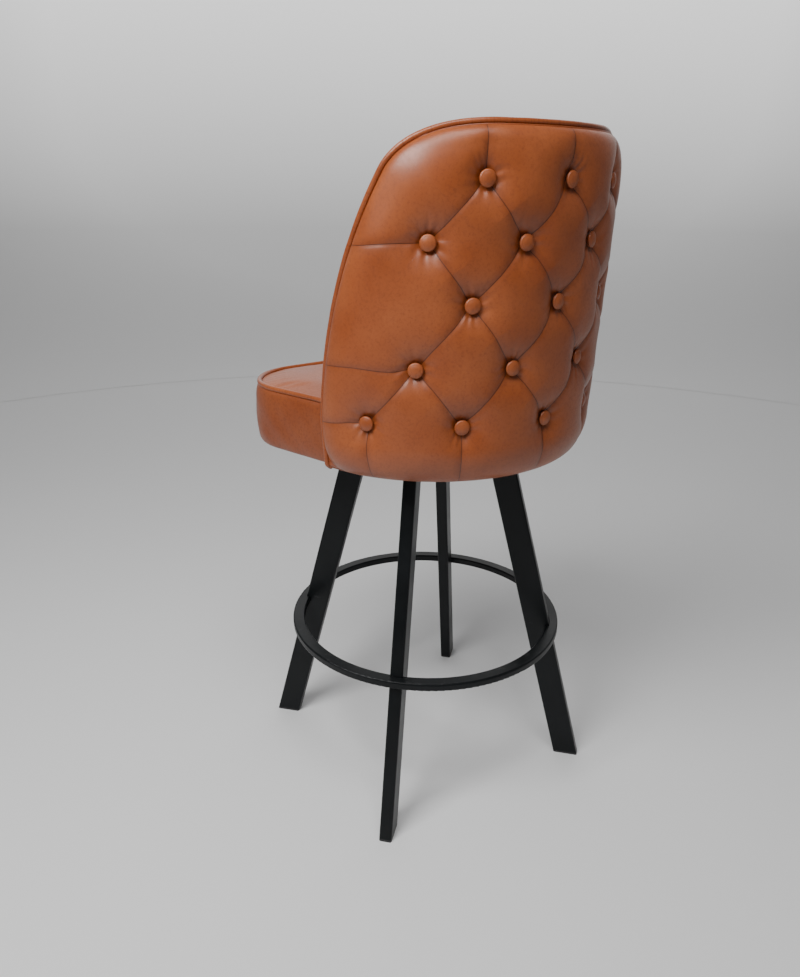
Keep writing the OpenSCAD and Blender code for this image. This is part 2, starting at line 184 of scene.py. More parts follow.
# %% Node helpers
def add_node(tree, kind, settings=None, **inputs):
    """One node with its settings and inputs; an underscore in an input's name stands for a space."""
    made = tree.nodes.new("ShaderNode" + kind)
    for name, value in (settings or {}).items():
        setattr(made, name, value)
    for name, value in inputs.items():
        fill_input(tree, made.inputs[name.replace("_", " ")], value)
    return made


def fill_input(tree, socket, value):
    """Links another node's output to an input, or sets its value."""
    if isinstance(value, bpy.types.NodeSocket):
        tree.links.new(value, socket)
    else:
        socket.default_value = value


def calc(tree, operation, a, b=0.0, c=0.0):
    """Output of a Math node."""
    made = tree.nodes.new("ShaderNodeMath")
    made.operation = operation
    for socket, value in zip(made.inputs, (a, b, c)):
        fill_input(tree, socket, value)
    return made.outputs[0]


def times(tree, a, b):
    """One value times another."""
    return calc(tree, "MULTIPLY", a, b)


def span(tree, value, low, high, to_low=0.0, to_high=1.0):
    """Value moved from one range to another and clamped."""
    ends = dict(From_Min=low, From_Max=high, To_Min=to_low, To_Max=to_high)
    return add_node(tree, "MapRange", Value=value, **ends).outputs[0]


def split(tree, vector):
    """The three outputs of Separate XYZ."""
    return add_node(tree, "SeparateXYZ", Vector=vector).outputs


def noise(tree, vector, scale, detail, **more):
    """Value of a noise texture."""
    return add_node(tree, "TexNoise", Vector=vector, Scale=scale, Detail=detail, **more).outputs[0]


def mix_colour(tree, share, a, b):
    """Colour between a and b."""
    made = tree.nodes.new("ShaderNodeMix")
    made.data_type = "RGBA"
    for socket, value in zip((made.inputs[0], made.inputs[6], made.inputs[7]), (share, a, b)):
        fill_input(tree, socket, value)
    return made.outputs[2]


def new_group(name, numbers, outputs):
    """Node group with a Vector input, named number inputs with their values, and float outputs."""
    group = bpy.data.node_groups.new(name, "ShaderNodeTree")
    group.interface.new_socket(name="Vector", in_out="INPUT", socket_type="NodeSocketVector")
    for label, value in numbers.items():
        socket = group.interface.new_socket(name=label, in_out="INPUT", socket_type="NodeSocketFloat")
        socket.default_value = value
    for label in outputs:
        group.interface.new_socket(name=label, in_out="OUTPUT", socket_type="NodeSocketFloat")
    return group, group.nodes.new("NodeGroupInput").outputs, group.nodes.new("NodeGroupOutput").inputs


def place_group(tree, group, vector, **numbers):
    """The group placed in a material with its own values."""
    made = tree.nodes.new("ShaderNodeGroup")
    made.node_tree = group
    tree.links.new(vector, made.inputs["Vector"])
    for name, value in numbers.items():
        fill_input(tree, made.inputs[name.replace("_", " ")], value)
    return made.outputs


def new_finish(name, **plain):
    """Material with its Principled shader and Object coordinates; plain values go on the shader."""
    material = bpy.data.materials.new(name)
    material.use_nodes = True
    tree = material.node_tree
    shader = tree.nodes["Principled BSDF"]
    for label, value in plain.items():
        shader.inputs[label.replace("_", " ")].default_value = value
    return material, tree, shader, tree.nodes.new("ShaderNodeTexCoord").outputs["Object"]


def bump(tree, shader, height, strength, distance):
    """Bump on the shader's normal; a height of 1 stands for distance metres."""
    made = add_node(tree, "Bump", Height=height, Strength=strength, Distance=distance)
    tree.links.new(made.outputs[0], shader.inputs["Normal"])
    return made


print("node helpers are ready")

# %% [markdown]
# ## Floor and light
#
# Upholstery is shown in large, soft light, so that each tuft has a bright and a shaded
# side. A big panel stands high on the camera's left and one hangs overhead. A round white
# wall sweeps up from the floor. Across from the camera it glows, as a lit wall does, so
# the leather's edges and the seat have something pale to reflect.

# %% Floor
floor_half, paint = 14.0, (0.86, 0.86, 0.86, 1)
floor_mesh = bpy.data.meshes.new("floor")
corners = [(-1, -1), (1, -1), (1, 1), (-1, 1)]
floor_mesh.from_pydata([(floor_half * x, floor_half * y, 0) for x, y in corners], [], [(0, 1, 2, 3)])
floor = bpy.data.objects.new("floor", floor_mesh)
bpy.context.scene.collection.objects.link(floor)
floor_mesh.materials.append(new_finish("floor_paint", Base_Color=paint, Roughness=0.7)[0])
print("floor %.0f m wide" % (2 * floor_half))

# %% Round studio wall
def studio_wall(start, bend_r, high):
    """A quarter circle of bend_r from start out to the upright, turned about the swivel axis."""
    bend = np.linspace(0, np.pi / 2, 17)
    r, z = start + bend_r * np.sin(bend), bend_r * (1 - np.cos(bend)) + 0.001
    r, z = np.append(r, start + bend_r), np.append(z, high)
    about = np.linspace(0, 2 * np.pi, 96, endpoint=False)
    x, y = np.outer(r, np.cos(about)), axis_y + np.outer(r, np.sin(about))
    points = np.stack([x, y, np.outer(z, np.ones(96))], axis=-1)
    return make_piece("studio_wall", points.reshape(-1, 3), grid_quads(len(r), 96))


def wall_finish():
    """White at the floor and grey above, so that little light comes back; the glow grows with the
    height and with the distance ahead of the camera."""
    material, tree, shader, place = new_finish("wall_paint", Roughness=0.7, Emission_Strength=1.1)
    ahead = add_node(tree, "VectorMath", {"operation": "DOT_PRODUCT"})
    fill_input(tree, ahead.inputs[0], place)
    fill_input(tree, ahead.inputs[1], (np.cos(heading), np.sin(heading), 0))
    height = split(tree, place)[2]
    lit = span(tree, ahead.outputs["Value"], 2.6, 3.9, 0.07, 1.0)
    tree.links.new(times(tree, lit, span(tree, height, 0.0, 2.0)), shader.inputs["Emission Color"])
    tree.links.new(span(tree, height, 0.0, 0.7, 0.86, 0.30), shader.inputs["Base Color"])
    return material


wall = studio_wall(3.0, 1.4, 4.6)
wall.data.materials.append(wall_finish())

# %% Lights
def soft_panel(name, place, aim, size, power):
    """Square light panel at a place, turned to its aim."""
    data = bpy.data.lights.new(name, "AREA")
    data.shape = "SQUARE"
    data.size = size
    data.energy = power
    panel = bpy.data.objects.new(name, data)
    bpy.context.scene.collection.objects.link(panel)
    facing = (Vector(aim) - Vector(place)).to_track_quat("-Z", "Y")
    panel.matrix_world = Matrix.Translation(Vector(place)) @ facing.to_matrix().to_4x4()
    return panel


seat_middle = (0, axis_y, 0.75)
soft_panel("key_panel", (1.25, 0.22, 1.85), seat_middle, 0.8, 31)
soft_panel("top_panel", (0.55, 0.75, 2.4), seat_middle, 0.9, 18)
world = bpy.data.worlds.new("studio_air")
world.use_nodes = True
world.node_tree.nodes["Background"].inputs["Color"].default_value = (0.97, 0.98, 1.0, 1)
world.node_tree.nodes["Background"].inputs["Strength"].default_value = 0.13
bpy.context.scene.world = world
print("lights:", [light.name for light in bpy.data.lights])

# %% [markdown]
# ## The shape of the back
#
# Seen from above the back is round about the swivel axis. Its radius grows slowly with
# height, and under the cushion it tucks in on a quarter ellipse. The front edge of the
# wings is a line seen from the side: upright by the seat, leaning back on a gentle curve,
# then turning over into the level top. The welt follows that line, a little inside the
# back's outer face, and both paddings end at it.

# %% Round wall and wing line
back_low_r, back_top_r = 0.245, 0.2645
tuck_z, tuck_in = 0.626, 0.040
edge_inset, top_inset = 0.020, 0.009
wing_y, wing_z, lean_end = 0.035, 0.640, 0.960
lean_slope, lean_bow = 0.112, 0.632


def wall_r(z):
    """Straight flare from back_low_r at tuck_z to back_top_r at the full height."""
    return back_low_r + (z - tuck_z) * (back_top_r - back_low_r) / (total_h - tuck_z)


def outside_r(z):
    """The flared wall above tuck_z, and below it a quarter ellipse tuck_in deep."""
    fall = np.clip((tuck_z - z) / (tuck_z - body_low), 0, 1)
    tucked = back_low_r - tuck_in + tuck_in * np.sqrt(1 - fall * fall)
    return np.where(z > tuck_z, wall_r(z), tucked)


def welt_path_r(z):
    """Inside the wall by edge_inset, and by up to top_inset more as the square of the height above
    lean_end; low down it is inside the tuck by the welt's own radius."""
    rise = np.clip((z - lean_end) / (total_h - lean_end), 0, 1)
    return np.minimum(wall_r(z) - edge_inset - top_inset * rise ** 2, outside_r(z) - welt_r)


def wing_line(inset=0.0):
    """(y, z) points of the welt line from the bottom to the level top, moved inwards by inset."""
    low = np.linspace(body_low, lean_end, 130)
    d = low - wing_z
    low_y = wing_y + np.where(d < 0, -0.04 * d, lean_slope * d + lean_bow * d * d)
    lean = np.arctan(lean_slope + 2 * lean_bow * (lean_end - wing_z))
    top = total_h - welt_r
    turn_r = (top - lean_end) / (1 - np.sin(lean))
    a = np.linspace(np.pi - lean, np.pi / 2, 61)[1:]
    y = np.concatenate([low_y, low_y[-1] + turn_r * (np.cos(lean) + np.cos(a))])
    z = np.concatenate([low, top - turn_r + turn_r * np.sin(a)])
    run_y, run_z = np.gradient(y), np.gradient(z)
    run_y[-1], run_z[-1] = 1, 0
    length = np.hypot(run_y, run_z)
    return y + inset * run_z / length, z - inset * run_y / length


def turn_on_back(y, z):
    """Angle from the rear at which a round path of the welt's radius stands at y."""
    r = welt_path_r(z)
    return np.arctan2(np.sqrt(np.maximum(r * r - y * y, 0)), y)


y, z = wing_line()
print("wing line: top at %.4f m, turned %.1f degrees there" % (z[-1], np.degrees(turn_on_back(y, z)[-1])))

# %% [markdown]
# ## A grid over the back
#
# Both paddings need rows that stay level beside the cushion and bend down at the
# shoulders, so that the last row is the top edge itself. The column number u goes from -1
# at one wing to 1 at the other. A row's height falls towards the wings only near the top,
# because the fall is weighted by the fourth power of v.

# %% Grid over the back
pad_inset = 0.0030
edge_y, edge_z = wing_line(pad_inset)
edge_turn = turn_on_back(edge_y, edge_z)
shoulder = 130 + 30
pad_top = edge_z[-1]


def back_grid(u, v, low):
    """Turn from the rear and height of each grid point: z climbs evenly from low to the top, less
    v to the fourth times the drop of the top edge; the turn is u times the wing line's."""
    top_turn, top_drop = edge_turn[shoulder:][::-1], pad_top - edge_z[shoulder:][::-1]
    drop = np.interp(np.abs(u) * edge_turn[shoulder], top_turn, top_drop)
    last_drop = pad_top - edge_z[shoulder]
    climb, weight = low + (pad_top - low) * v, v ** 4
    side_turn = np.interp(climb - weight * last_drop, edge_z[:shoulder + 1], edge_turn[:shoulder + 1])
    return u[None, :] * side_turn[:, None], climb[:, None] - weight[:, None] * drop[None, :]


def distance_to_line(s, z, line_s, line_z):
    """Distance from each (s, z) to the nearest stretch of a line of points."""
    best = np.full(s.shape, 9.0)
    for a, b, c, d in zip(line_s[:-1], line_z[:-1], line_s[1:], line_z[1:]):
        along = ((s - a) * (c - a) + (z - b) * (d - b)) / ((c - a) ** 2 + (d - b) ** 2)
        along = np.clip(along, 0, 1)
        best = np.minimum(best, np.hypot(s - a - along * (c - a), z - b - along * (d - b)))
    return best


flat_r = 0.252


def distance_to_edge(turn, z):
    """Distance along the wall to the wings' edges or the top, on the wall laid flat."""
    half_s, half_z = flat_r * edge_turn[::4], edge_z[::4]
    line_s = np.concatenate([half_s, [0]])
    line_z = np.concatenate([half_z, [pad_top]])
    return distance_to_line(np.abs(flat_r * turn), z, line_s, line_z)


def on_wall(r, turn, z):
    """Points at radius r about the swivel axis, turned from the rear."""
    return np.stack([r * np.sin(turn), axis_y + r * np.cos(turn), z], axis=-1)


def close_padding(name, front, back):
    """Closed piece from a face grid and a coarser back grid with every eighth column's angle."""
    rows, n = front.shape[:2]
    m = back.shape[1]
    points = np.concatenate([front, back[:, ::-1]], axis=1)
    quads = grid_quads(rows, n + m)
    k, j = np.meshgrid(np.arange(8), np.arange(m - 1))
    pairs = np.stack([8 * j + k, 8 * j + k + 1, n + m - 1 - j - (k > 3)], axis=-1).reshape(-1, 3)
    j = np.arange(m - 1)
    fill = np.stack([8 * j + 4, n + m - 2 - j, n + m - 1 - j], axis=-1)
    cap = np.concatenate([pairs, fill])
    last = (rows - 1) * (n + m)
    return make_piece(name, points.reshape(-1, 3), quads, np.concatenate([cap[:, ::-1], cap + last]))


u_test, v_test = np.linspace(-1, 1, 5), np.linspace(0, 1, 3)
print("grid heights:", np.round(back_grid(u_test, v_test, body_low)[1][-1], 4))

# %% [markdown]
# ## Where the buttons pull
#
# Each button is drawn through the padding to the plywood. Between neighbours the leather
# is folded into a pleat, so the pleats make diamonds, and from the outer buttons they run
# on to the welt or down to the hem. The pleats are straight lines on the wall laid flat.
# They fall into three families whose lines never cross, so that a signed distance to the
# nearest line of a family stays smooth beside each fold.

# %% Buttons and pleats
row_z = [middle("buttons_row_%d" % row)[2] for row in range(1, 6)]
row_counts = [3, 4, 3, 4, 5]
row_steps = np.radians([27, 28.2, 29.2, 30.2, 30.6])
buttons = [[(flat_r * (i - (n - 1) / 2) * step, z) for i in range(n)]
           for n, step, z in zip(row_counts, row_steps, row_z)]


def wing_s(z):
    """Distance along the flat wall from the rear to the welt at a height."""
    return flat_r * np.interp(z, edge_z[:shoulder + 1], edge_turn[:shoulder + 1])


falling, climbing, level_or_upright = [], [], []
for upper, lower in zip(buttons[:-1], buttons[1:]):
    for s, z in upper:
        for s2, z2 in lower:
            if abs(s2 - s) < flat_r * np.radians(20):
                (falling if s2 > s else climbing).append(((s, z), (s2, z2)))
for row, sag in ((1, 0.004), (3, 0.003), (4, 0.008)):
    for side in (-1, 1):
        s, z = max(buttons[row], key=lambda place: side * place[0])
        level_or_upright.append(((s, z), (side * wing_s(z - sag), z - sag)))
level_or_upright += [((s, z), (s * 1.02, pad_top)) for s, z in buttons[0]]
level_or_upright += [((s, z), (s * 0.985, body_low)) for s, z in buttons[4]]
print("pleats:", len(falling), len(climbing), len(level_or_upright))

# %% Distances to the pleats
def signed_distance(s, z, pleats):
    """Distance to the nearest pleat of a family, positive on its left."""
    best, sign = np.full(s.shape, 9.0), np.ones(s.shape)
    for (a, b), (c, d) in pleats:
        along = np.clip(((s - a) * (c - a) + (z - b) * (d - b)) / ((c - a) ** 2 + (d - b) ** 2), 0, 1)
        away = np.hypot(s - a - along * (c - a), z - b - along * (d - b))
        nearer = away < best
        best = np.where(nearer, away, best)
        sign = np.where(nearer, np.sign((c - a) * (z - b) - (d - b) * (s - a)), sign)
    return best * sign


def distance_to_buttons(s, z):
    """Distance to the nearest button's middle and the direction towards it."""
    best, away = np.full(s.shape, 9.0), np.zeros(s.shape)
    for a, b in [place for row in buttons for place in row]:
        d = np.hypot(s - a, z - b)
        away = np.where(d < best, np.arctan2(z - b, s - a), away)
        best = np.minimum(best, d)
    return best, away


top_middle = np.zeros(1), np.array([pad_top])
print("nearest button to the top's middle: %.3f m" % distance_to_buttons(*top_middle)[0][0])

# %% [markdown]
# ## The tufted outer padding
#
# The face is the round wall, less four things: a round-over into the welt, a broad valley
# along each pleat that deepens towards the buttons, a sharp crease in its floor, and a
# dimple at each button with small folds fanning out of it. Modelling the folds as geometry
# gives them real shadows, and a signed distance stored on the points lets the leather
# finish draw the fold line itself much finer than the grid.

# %% Relief of the tufting
def tufting(s, z):
    """Depth below the wall. Near a pleat it is g * exp(-distance / w), where g grows towards the
    buttons; a dimple is a bell of the distance to the button; folds are a cosine of the
    direction, fading outwards. Returns it with the three signed distances."""
    bent_s = s + 1.6 * MM * wander(s, z, 0.09, 3)
    bent_z = z + 1.6 * MM * wander(s, z, 0.09, 4)
    to_button, direction = distance_to_buttons(s, z)
    hold = ease(to_button, 0.010, 0.030)
    bent_s, bent_z = s + hold * (bent_s - s), z + hold * (bent_z - z)
    signed = [signed_distance(bent_s, bent_z, family) for family in (falling, climbing, level_or_upright)]
    plain = np.minimum(np.abs(signed[0]), np.abs(signed[1]))
    pleat = np.hypot(np.minimum(plain, np.abs(signed[2])), 0.8 * MM)
    pull = np.exp(-to_button / (30 * MM))
    valley = (0.8 * MM + 4.4 * MM * pull) * np.exp(-pleat / (7 * MM + 9 * MM * pull))
    crease = (0.9 * MM + 1.0 * MM * pull) * np.exp(-pleat / (2.0 * MM))
    dimple = 13.0 * MM * np.exp(-(to_button / (23.0 * MM)) ** 1.5)
    fan = np.exp(-np.abs(to_button - 17 * MM) / (9 * MM))
    folds = 0.6 * MM * fan * np.cos(9 * direction + 3 * wander(s, z, 0.05, 5))
    return valley + crease + dimple + folds, signed


print("the first button pulls %.1f mm" % (tufting(*np.array(buttons[0][:1]).T)[0][0] / MM))

# %% Outer padding
def outer_padding():
    """Face: outside_r less the round-over, the tufting and a slight wander. Round-over: edge_inset
    times one less the root of one less (1 - distance / width) squared, a quarter ellipse."""
    u = np.linspace(-1, 1, 8 * 44 + 1)
    v = np.linspace(0, 1, 248)
    low = body_low + 0.4 * MM
    turn, z = back_grid(u, v, low)
    s = flat_r * turn
    to_edge = distance_to_edge(turn, z)
    width = 0.046 + 0.021 * ease(z, 0.86, 0.96)
    near = np.clip(1 - to_edge / width, 0, 1)
    full_inset = wall_r(z) - np.minimum(welt_path_r(z), outside_r(z))
    round_over = np.where(z > tuck_z, full_inset, edge_inset) * (1 - np.sqrt(1 - near ** 2))
    depth, signed = tufting(s, z)
    calm = ease(to_edge, 0, 0.024) * ease(z, body_low, body_low + 0.03)
    swell = 0.9 * MM * wander(s, z, 0.11, 7) - 0.9 * MM
    r = outside_r(z) - round_over - calm * depth + calm * swell
    r = np.maximum(r, np.minimum(welt_path_r(z), outside_r(z)))
    front = on_wall(r, turn, z)
    behind_r = np.where(z < body_low + 5 * MM, outside_r(z) - 1 * MM, wall_r(z) - 0.0238)
    behind_r = np.minimum(behind_r, outside_r(z) - 1 * MM)
    behind_r = np.where(to_edge < 0.006, np.minimum(wall_r(z) - 0.021, outside_r(z) - 1 * MM), behind_r)
    back = on_wall(behind_r, turn, z)[:, ::8]
    piece = close_padding("outer_padding", front, back)
    marks = np.full((len(v), len(u) + back.shape[1], 3), 1.0)
    marks[:, :len(u)] = np.stack(signed, axis=-1) * 1000
    layer = piece.data.attributes.new("pleats", "FLOAT_VECTOR", "POINT")
    layer.data.foreach_set("vector", marks.ravel())
    # Nearness to the buttons, stored so that the leather finish can paint shade round each button.
    button_shade = np.zeros((len(v), len(u) + back.shape[1]))
    button_shade[:, :len(u)] = np.exp(-distance_to_buttons(s, z)[0] / 0.022)
    layer = piece.data.attributes.new("button_shade", "FLOAT", "POINT")
    layer.data.foreach_set("value", button_shade.ravel())
    return piece


outer = outer_padding()
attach(outer, "seat")
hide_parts("back_outer_pad")

# %% [markdown]
# ## The inner padding
#
# The face that the sitter leans on is plain: one smooth panel that is full in the middle
# and rounds off into the welt. Below the cushion it thins to the leather skin that is
# stapled down behind the seat, so the rows step inwards there.

# %% Inner padding
def inner_padding():
    """Face depth below the wall: 21 mm at the edge growing to 53 mm on a quarter ellipse, with a soft
    crown; below the cushion's top only a 36 mm skin. The rows crowd together at the step."""
    u = np.linspace(-1, 1, 8 * 30 + 1)
    low = body_low + 5 * MM
    step = seat_h + 5.5 * MM
    foot_rows = step + 0.5 * MM + 16 * MM * np.linspace(0, 1, 16) ** 2
    heights = np.concatenate([np.linspace(low, step, 12), foot_rows,
                              np.linspace(step + 18 * MM, pad_top, 130)])
    turn, z = back_grid(u, (heights - low) / (pad_top - low), low)
    to_edge = distance_to_edge(turn, z)
    near = np.clip(1 - to_edge / 0.034, 0, 1)
    full = np.sqrt(1 - near ** 2)
    foot = np.sqrt(1 - (1 - np.clip((z - step) / (14 * MM), 0, 1)) ** 2)
    crown = 1.5 * MM * ease(to_edge, 0.02, 0.12) + 0.8 * MM * wander(flat_r * turn, z, 0.13, 9)
    thick = 21.4 * MM + (31.6 * MM + crown * full) * full
    skin = 21.4 * MM + 14.6 * MM * ease(to_edge, 0.001, 0.012)
    depth = np.where(z > step, skin + (thick - skin) * foot, skin)
    face = on_wall(wall_r(z) - depth, turn, z)
    behind = np.where(to_edge < 0.008, 21.2 * MM, 33.2 * MM)
    back = on_wall(wall_r(z) - behind, turn, z)[:, ::8]
    return close_padding("inner_padding", face, back)


inner = inner_padding()
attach(inner, "seat")
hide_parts("back_inner_pad")

# %% [markdown]
# ## Welts
#
# A welt is a cord wrapped in a strip of leather and sewn into a seam. It is a round
# section carried along a path: at each point one side of the section faces away from the
# swivel axis and the other is square to that and to the path. The sewn leather is never
# quite even, so the radius swells and shrinks a little.

# %% Tube along a path
def welt_tube(name, path, closed, sides=18):
    """Round section of the welt's radius, which varies by a few hundredths, square to the path."""
    if closed:
        run = np.roll(path, -1, axis=0) - np.roll(path, 1, axis=0)
    else:
        run = np.gradient(path, axis=0)
    run /= np.linalg.norm(run, axis=1)[:, None]
    out = (path - [0, axis_y, 0]) * [1, 1, 0]
    out -= np.sum(out * run, axis=1)[:, None] * run
    out /= np.linalg.norm(out, axis=1)[:, None]
    aside = np.cross(out, run)
    length = np.concatenate([[0], np.cumsum(np.linalg.norm(np.diff(path, axis=0), axis=1))])
    a = np.linspace(0, 2 * np.pi, sides, endpoint=False)
    radius = welt_r * (1 + 0.035 * np.outer(wander(length, length * 0, 0.045, 11), np.ones(sides)))
    if closed:
        blend = ease(length, length[-1] - 0.05, length[-1])[:, None]
        radius = radius * (1 - blend) + radius[:1] * blend
    else:
        to_end = np.minimum(length, length[-1] - length)
        radius *= np.sqrt(1 - (1 - np.clip(to_end / welt_r, 0.02, 1)) ** 2)[:, None]
    ring = np.cos(a)[None, :, None] * out[:, None] + np.sin(a)[None, :, None] * aside[:, None]
    points = path[:, None] + radius[:, :, None] * ring
    rows = len(path)
    quads = grid_quads(rows, sides, wrap_rows=closed)
    ends = () if closed else (range(sides)[::-1], range((rows - 1) * sides, rows * sides))
    piece = make_piece(name, points.reshape(-1, 3), quads, caps=ends)
    layer = piece.data.attributes.new("along", "FLOAT", "POINT")
    layer.data.foreach_set("value", np.repeat(length, sides))
    return piece


def even_steps(path, step):
    """The path again with points every step along it."""
    length = np.concatenate([[0], np.cumsum(np.linalg.norm(np.diff(path, axis=0), axis=1))])
    wanted = np.linspace(0, length[-1], int(length[-1] / step))
    return np.stack([np.interp(wanted, length, path[:, k]) for k in range(3)], axis=-1)

# %% Welt round the back
def back_welt_path():
    """Up one wing on the wing line, round the level top at one radius, and down the other wing."""
    y, z = wing_line()
    keep = z > body_low + 1.5 * MM
    y, z = y[keep], z[keep]
    turn, r = turn_on_back(y, z), welt_path_r(z)
    wing = on_wall(r, turn, z)
    over = np.linspace(turn[-1], -turn[-1], 60)[1:-1]
    top = on_wall(np.full(over.shape, r[-1]), over, np.full(over.shape, z[-1]))
    other = (wing * [-1, 1, 1])[::-1]
    return even_steps(np.concatenate([wing, top, other]), 2.5 * MM)


back_welt = welt_tube("back_welt_cord", back_welt_path(), closed=False)
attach(back_welt, "seat")
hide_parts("back_welt")

# %% [markdown]
# ## The seat outline
#
# Seen from above the cushion is a circle about the axis at the rear and two smaller
# circles at the front corners, joined by straight lines that touch them. An outline that
# is moved outwards has the same arcs with larger radii, so the direction outwards is the
# line from each arc's middle.

# %% Seat outline
rear_r, corner_r = 0.200, 0.095
corner_x, corner_back = 0.225 - corner_r, 0.206 - corner_r


def seat_outline(count):
    """Evenly spaced points round the seat and the outward direction at each, as (count, 2) arrays."""
    reach = np.hypot(corner_x, corner_back)
    touch = np.arccos((rear_r - corner_r) / reach) + np.arctan2(-corner_back, corner_x)
    arcs = [((0, 0), rear_r, touch, np.pi - touch),
            ((-corner_x, -corner_back), corner_r, np.pi - touch, 1.5 * np.pi),
            ((corner_x, -corner_back), corner_r, -0.5 * np.pi, touch)]
    points, ways = [], []
    for centre, r, start, stop in arcs:
        a = np.linspace(start, stop, 200)
        way = np.stack([np.cos(a), np.sin(a)], axis=-1)
        points.append(np.array(centre) + r * way)
        ways.append(way)
    points, ways = np.concatenate(points + [points[0][:1]]), np.concatenate(ways + [ways[0][:1]])
    length = np.concatenate([[0], np.cumsum(np.linalg.norm(np.diff(points, axis=0), axis=1))])
    wanted = np.linspace(0, length[-1], count, endpoint=False)
    line = np.stack([np.interp(wanted, length, points[:, k]) for k in (0, 1)], axis=-1)
    way = np.stack([np.interp(wanted, length, ways[:, k]) for k in (0, 1)], axis=-1)
    return line + [0, axis_y], way / np.linalg.norm(way, axis=1)[:, None], length[-1]


outline, _, around = seat_outline(480)
print("seat is %.3f m round" % around)

# %% Welt round the seat
seat_welt_path = np.concatenate([outline, np.full((len(outline), 1), seat_h)], axis=1)
seat_welt = welt_tube("seat_welt_cord", seat_welt_path, closed=True)
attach(seat_welt, "seat")
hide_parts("seat_welt")

# %% [markdown]
# ## The side band
#
# A strip of leather over wadding goes round the seat below the welt and is stapled under
# the board. It bulges most in the middle of its height, which half a superellipse draws
# well, and behind the wings there is less room, so it lies flatter there.

# %% Side band
def side_band():
    """Section carried round the outline: outside, half a superellipse of power 2.6; below, a flat
    flange under the board; inside, a straight wall just clear of the foam."""
    line, way, _ = seat_outline(420)
    a = np.linspace(np.pi / 2, -np.pi / 2, 30)
    top, low = seat_h - 3.2 * MM, body_low + 0.3 * MM
    shape = np.abs(np.cos(a)) ** (2 / 2.6)
    lift = np.sign(np.sin(a)) * np.abs(np.sin(a)) ** (2 / 2.6)
    free = ease(-(line[:, 1] - axis_y), -0.06, 0.02)
    bulge = 4.2 * MM + 3.6 * MM * free
    round_turn = np.linspace(0, 2 * np.pi, len(line), endpoint=False)[:, None]
    z = (top + low) / 2 + (top - low) / 2 * lift
    uneven = wander(0.3 * np.cos(round_turn) + 0 * z, 0.3 * np.sin(round_turn) + z, 0.05, 13)
    offset = shape * (bulge[:, None] + 0.5 * MM * free[:, None] * uneven) - 0.5 * MM
    height = np.tile(z, (len(line), 1))
    under = [(-10 * MM, low), (-19.5 * MM, low), (-19.5 * MM, low + 3.6 * MM),
             (0.3 * MM, low + 4.0 * MM), (0.1 * MM, seat_h - 6 * MM)]
    offset = np.concatenate([offset] + [np.full((len(line), 1), o) for o, h in under], axis=1)
    height = np.concatenate([height] + [np.full((len(line), 1), h) for o, h in under], axis=1)
    flat = line[:, None] + offset[:, :, None] * way[:, None]
    points = np.concatenate([flat, height[:, :, None]], axis=2)
    quads = grid_quads(len(line), offset.shape[1], wrap_rows=True)
    return make_piece("side_band", points.reshape(-1, 3), quads)


band = side_band()
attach(band, "seat")
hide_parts("seat_band")

# %% [markdown]
# ## The cushion
#
# The cushion's leather is sewn into the welt all round and lies on foam, so it is a low
# crown that falls quickly at the seam. A cloth simulation, blown up from inside with its rim
# held, gives the crown the slack look of stretched leather, and the result is kept only
# up to a few millimetres from the shape it starts with.

# %% Cushion shape
cushion_rings = 44


def cushion_shape():
    """Rings of the outline shrunk towards the middle. Height: a flat crown, 5 mm times one less the
    square of the ring, on a rim that climbs 6 mm as the root of one less the ring's tenth power."""
    line, way, _ = seat_outline(200)
    rim = line - 2.6 * MM * way
    heart = np.array([0, axis_y - 0.008])
    ring = 1 - np.linspace(0, 1, cushion_rings + 1)[:-1] ** 1.6
    flat = heart + ring[:, None, None] * (rim - heart)
    height = seat_h - 1.0 * MM + 6 * MM * np.sqrt(1 - ring ** 10) + 5 * MM * (1 - ring ** 2)
    top = np.concatenate([flat, np.broadcast_to(height[:, None, None], flat.shape[:2] + (1,))], axis=2)
    low_rim = np.concatenate([rim - 1.5 * MM * way, np.full((len(rim), 1), seat_h - 4.4 * MM)], axis=1)
    points = np.concatenate([low_rim[None], top])
    n = len(line)
    quads = grid_quads(len(points), n)
    caps = (list(range(n))[::-1], list(range((len(points) - 1) * n, len(points) * n)))
    return make_piece("seat_cushion", points.reshape(-1, 3), quads, caps=caps)


cushion = cushion_shape()

# %% Let the cushion swell
def swell(piece, held, most):
    """Cloth with pressure for 20 frames; each point then moves along the cloth's way, at most so far."""
    start = np.empty(len(piece.data.vertices) * 3)
    piece.data.vertices.foreach_get("co", start)
    start = start.reshape(-1, 3)
    pin = piece.vertex_groups.new(name="held")
    pin.add(held.tolist(), 1.0, "REPLACE")
    cloth = piece.modifiers.new("swelling", "CLOTH")
    cloth.settings.vertex_group_mass = "held"
    cloth.settings.use_pressure = True
    cloth.settings.uniform_pressure_force = 4
    cloth.settings.effector_weights.gravity = 0
    cloth.settings.tension_stiffness = 12
    cloth.settings.bending_stiffness = 1.5
    cloth.point_cache.frame_start, cloth.point_cache.frame_end = 1, 20
    for number in range(1, 21):
        bpy.context.scene.frame_set(number)
    seen = piece.evaluated_get(bpy.context.evaluated_depsgraph_get()).to_mesh()
    moved = np.empty(len(seen.vertices) * 3)
    seen.vertices.foreach_get("co", moved)
    move = moved.reshape(-1, 3) - start
    far = np.linalg.norm(move, axis=1)
    share = most * np.tanh(far / most) / np.maximum(far, 1e-9)
    piece.modifiers.remove(cloth)
    piece.vertex_groups.remove(pin)
    piece.data.vertices.foreach_set("co", (start + move * share[:, None]).ravel())
    bpy.context.scene.frame_set(1)
    print("swelled by up to %.1f mm, kept %.1f mm" % (far.max() * 1000, (far * share).max() * 1000))


